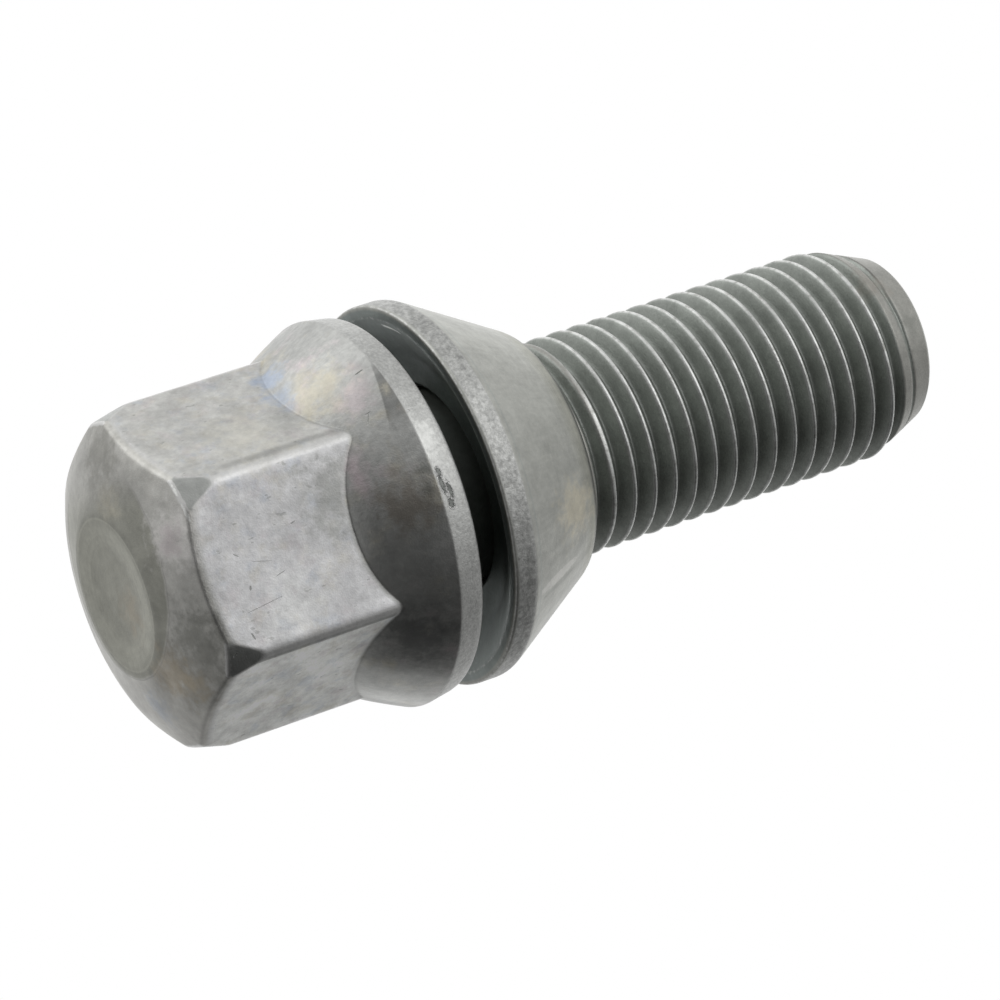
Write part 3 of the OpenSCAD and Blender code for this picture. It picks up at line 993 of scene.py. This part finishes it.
def rim_layers(steel):
    """Rim band: light and finely grained, with a painted highlight beside the flare."""
    rim = steel.within((RIM_Z - 0.05, FLANGE_Z + 0.1), (FLANGE_R - 0.9, FLANGE_R + 1, 0.2))
    steel.lay(rim, RIM_COAT, 0.46)
    steel.grains(rim, 0.2, 0.8, 0.82, 1.12, 0.02)
    steel.clouds(RIM_CLOUDS, rim)


def thread_layers(steel, groove):
    """Neck darkened with painted shade, greenish flanks of the thread with painted shade towards the roots,
    thin crests rubbed bright and lightened as a painted highlight, and a painted shade line round the tip.
    """
    # Painted shade on the neck, down in the gap between the flange and the collar
    neck = steel.within((FLANGE_Z - 0.05, THREAD_Z + 0.2), (-1.0, FLANGE_R - 1.5, 0.6))
    steel.lay(neck, NECK_SHADE, 0.5)
    threaded = steel.ramp(steel.z, THREAD_Z - 0.1, THREAD_Z + 0.4)
    steel.lay(threaded, TIP_COAT, 0.45)
    flank = steel.times(threaded, steel.ramp(groove, 0.01, 0.06))
    steel.lay(flank, THREAD_FLANK, 0.52)
    # Painted shade: flanks lighter near the crest and darker towards the root
    steel.vary(flank, steel.ramp(groove, 0.15, 1.0, smooth=False), 1.08, 0.86)
    steel.vary(flank, steel.ramp(steel.noise(0.4, 3.0), *PATCHY), 0.94, 1.06)
    steel.grains(threaded, 0.12, 1.0, 0.9, 1.12, 0.012)
    # Crests rubbed bare, lightened further as a painted highlight
    crest = steel.times(steel.rest(steel.ramp(groove, 0.0, 0.12, smooth=False)),
                        steel.between(steel.z, GROOVE_Z + PITCH, TIP_Z + 0.5, 0.5))
    bright = steel.ramp(steel.noise(1.6, 5.0, 0.7), 0.22, 0.6)
    steel.lay(steel.times(crest, bright), CREST_BARE_AND_HIGHLIGHT, 0.36)
    # Painted shade: a thin dark line round the tip where a groove ends
    tip = steel.ramp(steel.z, TIP_Z, TIP_Z + 1.5)
    painted_shade_band = steel.m("MULTIPLY_ADD", steel.noise(0.5, 3.0), 0.3, steel.z)
    painted_shade_band = steel.between(painted_shade_band, TIP_GROOVE_SHADE_FROM, TIP_GROOVE_SHADE_TO, 0.08)
    steel.shade(steel.times(tip, painted_shade_band), 0.62)


def coat_layers(steel, edge, contrast):
    """The whole coat is mottled and grained, rubbed bright on outer corners, with painted shade in inner
    ones.
    """
    coat = steel.use("mottled coat", Patch=1.5, Contrast=contrast)
    steel.shade(1.0, coat["Shade"])
    steel.lay(1.0, relief=steel.times(coat["Relief"], 0.012))
    worn = steel.use("worn edge", Edge=edge, Breakup=0.3, Reach=0.5)["Mask"]
    steel.lay(steel.times(worn, 0.8), BARE_AND_HIGHLIGHT, 0.36)
    # Painted shade in the inner creases, where the wear value is below nought
    steel.shade(steel.m("MULTIPLY", edge, -1.0, clamp=True), 0.6)


def scar_layers(steel):
    """Scratches, places knocked bright and torn nicks, each in its own place."""
    for centre, along, length, width, depth in SCRATCHES.values():
        scratch = steel.scar(centre, along, length, width, Torn=0.8)["Mask"]
        steel.lay(steel.times(scratch, depth), DEEP, 0.5, relief=-0.03)
    for centre, along, length, width, strength in BRIGHT_PLACES.values():
        rubbed = steel.scar(centre, along, length, width)["Mask"]
        steel.lay(steel.times(rubbed, strength), PALE, 0.4)
    for centre, length, width in RIM_NICKS.values():
        nick = steel.scar(centre, NICK_ALONG, length, width, Torn=2.8, Tear=0.16)
        # The nick's lip is bare metal lightened as a painted highlight, and its pit is dark, deepened with
        # painted shade
        steel.lay(steel.times(nick["Lip"], 0.7), BARE_AND_HIGHLIGHT, 0.36, relief=0.03)
        steel.lay(steel.times(nick["Mask"], 0.85), PIT_AND_SHADE, 0.5, relief=-0.08)


def collar_finish():
    steel = Finish("collar steel", COLLAR_COAT, 0.44)
    turned_layers(steel)
    band_layers(steel)
    cone_layers(steel)
    hollow_layers(steel)
    coat_layers(steel, steel.attribute("edge"), 0.06)
    return steel.done()


def turned_layers(steel):
    """Turned all over: smears round the ring, faint tool rings, and stronger ones at its narrow end."""
    around = add(steel.tree, "ShaderNodeCombineXYZ", {
        0: steel.m("MULTIPLY", steel.m("COSINE", steel.turn), COLLAR_R),
        1: steel.m("MULTIPLY", steel.m("SINE", steel.turn), COLLAR_R),
        2: steel.m("MULTIPLY", steel.z, 0.2),
    })
    smears = noise(steel.tree, around.outputs[0], 0.9, 6.0, rough=0.72)
    steel.vary(1.0, steel.ramp(smears, *PATCHY), 0.92, 1.08)
    steel.rings(1.0, steel.z, 0.4, 0.03)
    narrow_end = steel.ramp(steel.z, collar_high.z - 2.0, collar_high.z - 0.8)
    steel.rings(narrow_end, steel.z, 0.2, 0.18)


def band_layers(steel):
    """Straight band at the wide end: coarse light and dark grains."""
    base = collar_low.z
    heights = (base + 0.15, base + COLLAR_BAND_H + 0.1, 0.12)
    band = steel.within(heights, (COLLAR_R - 0.4, COLLAR_R + 1, 0.2))
    steel.lay(band, RIM_COAT, 0.48)
    steel.grains(band, 0.32, 0.9, 0.62, 1.12, 0.025)


def cone_layers(steel):
    """Cone: olive towards the narrow end, with a warm patch and two long streaks."""
    top = collar_high.z
    steel.lay(steel.times(steel.ramp(steel.z, top - 1.8, top - 0.6), 0.5), OLIVE)
    steel.clouds(COLLAR_CLOUDS)
    for centre, length, width, colour, strength in COLLAR_STREAKS.values():
        streak = steel.scar(centre, COLLAR_STREAK_ALONG, length, width, Torn=1.2)["Mask"]
        steel.lay(steel.times(streak, strength), colour)


def hollow_layers(steel):
    """Hollow: painted shade, darkest at its floor and lighter towards its rim, with one painted shine; the
    mouth of the bore gets painted shade too.
    """
    base, top = collar_low.z, collar_high.z
    heights = (base - 1, base + COLLAR_HOLLOW + 0.4, 0.2)
    hollow = steel.within(heights, (0.0, COLLAR_R - 0.2, 0.15))
    # Painted shade deepening from the hollow's rim to its floor
    outwards = steel.ramp(steel.r, COLLAR_FLOOR_R + 0.5, COLLAR_FOOT_R, smooth=False)
    steel.lay(hollow, mixed(steel.tree, outwards, HOLLOW_FLOOR_SHADE, HOLLOW_RIM_SHADE), 0.42)
    # Painted highlight: one shine on the hollow's slope
    shine = steel.times(steel.use("soft patch", Centre=SHINE_CENTRE, Reach=1.6)["Mask"],
                        steel.between(steel.r, SHINE_FROM, SHINE_TO, 0.07))
    steel.lay(steel.times(hollow, shine), PALE, 0.3)
    # Painted shade on the mouth of the bore
    steel.lay(steel.ramp(steel.z, top - 0.55, top - 0.25), MOUTH_SHADE, 0.5)


# The camera stands where the photograph was taken from, beside and below the head
CAMERA_PLACE = (22.40, 293.14, -118.26)
CAMERA_TURN = Euler([radians(angle) for angle in (147.028, -58.236, 122.596)])
CAMERA_LENS = 189.25
SENSOR_WIDTH = 36

# What lights the bolt: its direction from the bolt as (right, up, away) in the picture, how tight it is,
# and its level
STUDIO = {
    "front softbox": ((0.71, 0.55, -0.43), 6.7, 1.35),
    "side softbox": ((-0.65, 0.76, 0.04), 5.2, 1.19),
    "backdrop": ((0.18, 0.17, 0.97), 4.6, 1.30),
    "dark behind the camera": ((0.01, -0.14, -0.99), 14.0, -0.44),
    "dark below the bolt": ((0.22, -0.95, -0.24), 4.4, -0.39),
}
ROOM_LEVEL = 0.32
DARKEST_LEVEL = 0.03
# The steel mirrors the white backdrop where a direction is this close to straight away from the camera
BACKDROP_EDGE = (0.76, 0.84)

# The floor lies just under the head, and its radius in metres makes it look endless
FLOOR_DROP = 0.02
FLOOR_R = 0.5
FLOOR_GREY = 0.8
FLOOR_GLOW = 0.35


def make_camera():
    data = bpy.data.cameras.new("camera")
    data.lens = CAMERA_LENS
    data.sensor_width = SENSOR_WIDTH
    data.clip_start = 0.01
    camera = bpy.data.objects.new("camera", data)
    camera.location = Vector(CAMERA_PLACE) * MM
    camera.rotation_euler = CAMERA_TURN
    bpy.context.collection.objects.link(camera)
    bpy.context.scene.camera = camera


def softbox_group():
    """Level of one large soft lamp, brightest in its own direction."""
    tree, m, size, put = group_tree(
        "softbox", dict(Direction=VECTOR, Centre=VECTOR, Tightness=5.0, Level=1.0), ("Light",))
    off = m("SUBTRACT", moved(tree, "DOT_PRODUCT", size["Direction"], size["Centre"]), 1.0)
    put("Light", m("MULTIPLY", m("EXPONENT", m("MULTIPLY", off, size["Tightness"])), size["Level"]))
    return tree


def make_world():
    """White behind the bolt, and round it a room with soft lamps, which the steel reflects."""
    world = bpy.data.worlds.new("studio")
    bpy.context.scene.world = world
    world.use_nodes = True
    tree = world.node_tree
    tree.nodes.clear()
    m = partial(maths, tree)
    view = CAMERA_TURN.to_matrix()
    direction = tree.nodes.new("ShaderNodeTexCoord").outputs["Generated"]
    eye = tree.nodes.new("ShaderNodeLightPath")
    softbox = softbox_group()
    level = ROOM_LEVEL
    for (right, up, away), tightness, strength in STUDIO.values():
        centre = view @ Vector((right, up, -away)).normalized()
        lobe = place(tree, softbox, Direction=direction, Centre=centre, Tightness=tightness, Level=strength)
        level = m("ADD", level, lobe["Light"])
    straight_away = view @ Vector((0, 0, -1))
    backdrop = ramp(tree, moved(tree, "DOT_PRODUCT", direction, straight_away), *BACKDROP_EDGE)
    mirrored = m("MULTIPLY", backdrop, eye.outputs["Is Glossy Ray"])
    level = m("MAXIMUM", level, m("MAXIMUM", mirrored, DARKEST_LEVEL))
    room = add(tree, "ShaderNodeBackground", {"Color": (1, 1, 1), "Strength": level})
    white = add(tree, "ShaderNodeBackground", {"Color": (1, 1, 1), "Strength": 1.0})
    seen = m("MAXIMUM", eye.outputs["Is Camera Ray"], eye.outputs["Is Transmission Ray"])
    both = add(tree, "ShaderNodeMixShader", {0: seen, 1: room.outputs[0], 2: white.outputs[0]})
    add(tree, "ShaderNodeOutputWorld", {0: both.outputs[0]})


def make_floor():
    """Pale floor under the head, seen only from above, so that the view from below stays white."""
    mesh = bmesh.new()
    bmesh.ops.create_circle(mesh, cap_ends=True, segments=96, radius=FLOOR_R)
    data = bpy.data.meshes.new("floor")
    mesh.to_mesh(data)
    mesh.free()
    data.transform(Matrix.Translation((0, 0, -FLOOR_DROP * MM)))
    floor = bpy.data.objects.new("floor", data)
    bpy.context.collection.objects.link(floor)
    for ray in ("diffuse", "glossy", "transmission", "shadow", "volume_scatter"):
        setattr(floor, "visible_" + ray, False)
    material = bpy.data.materials.new("pale floor")
    material.use_nodes = True
    tree = material.node_tree
    tree.nodes.clear()
    pale = add(tree, "ShaderNodeBsdfDiffuse", {"Color": (FLOOR_GREY,) * 3})
    glow = add(tree, "ShaderNodeEmission", {"Color": (1, 1, 1), "Strength": FLOOR_GLOW})
    lit = add(tree, "ShaderNodeAddShader", {0: pale.outputs[0], 1: glow.outputs[0]})
    clear = tree.nodes.new("ShaderNodeBsdfTransparent")
    below = tree.nodes.new("ShaderNodeNewGeometry").outputs["Backfacing"]
    both = add(tree, "ShaderNodeMixShader", {0: below, 1: lit.outputs[0], 2: clear.outputs[0]})
    add(tree, "ShaderNodeOutputMaterial", {0: both.outputs[0]})
    data.materials.append(material)


GROUPS = {
    "mottled coat": mottle_group(),
    "tool rings": rings_group(),
    "worn edge": edge_group(),
    "coarse speckle": speckle_group(),
    "dark specks": specks_group(),
    "soft patch": patch_group(),
    "between": between_group(),
    "scar": scar_group(),
}
make_camera()
make_world()
make_floor()
make_bolt(bolt_finish())
make_collar(collar_finish())
bpy.context.scene.view_settings.view_transform = "Standard"
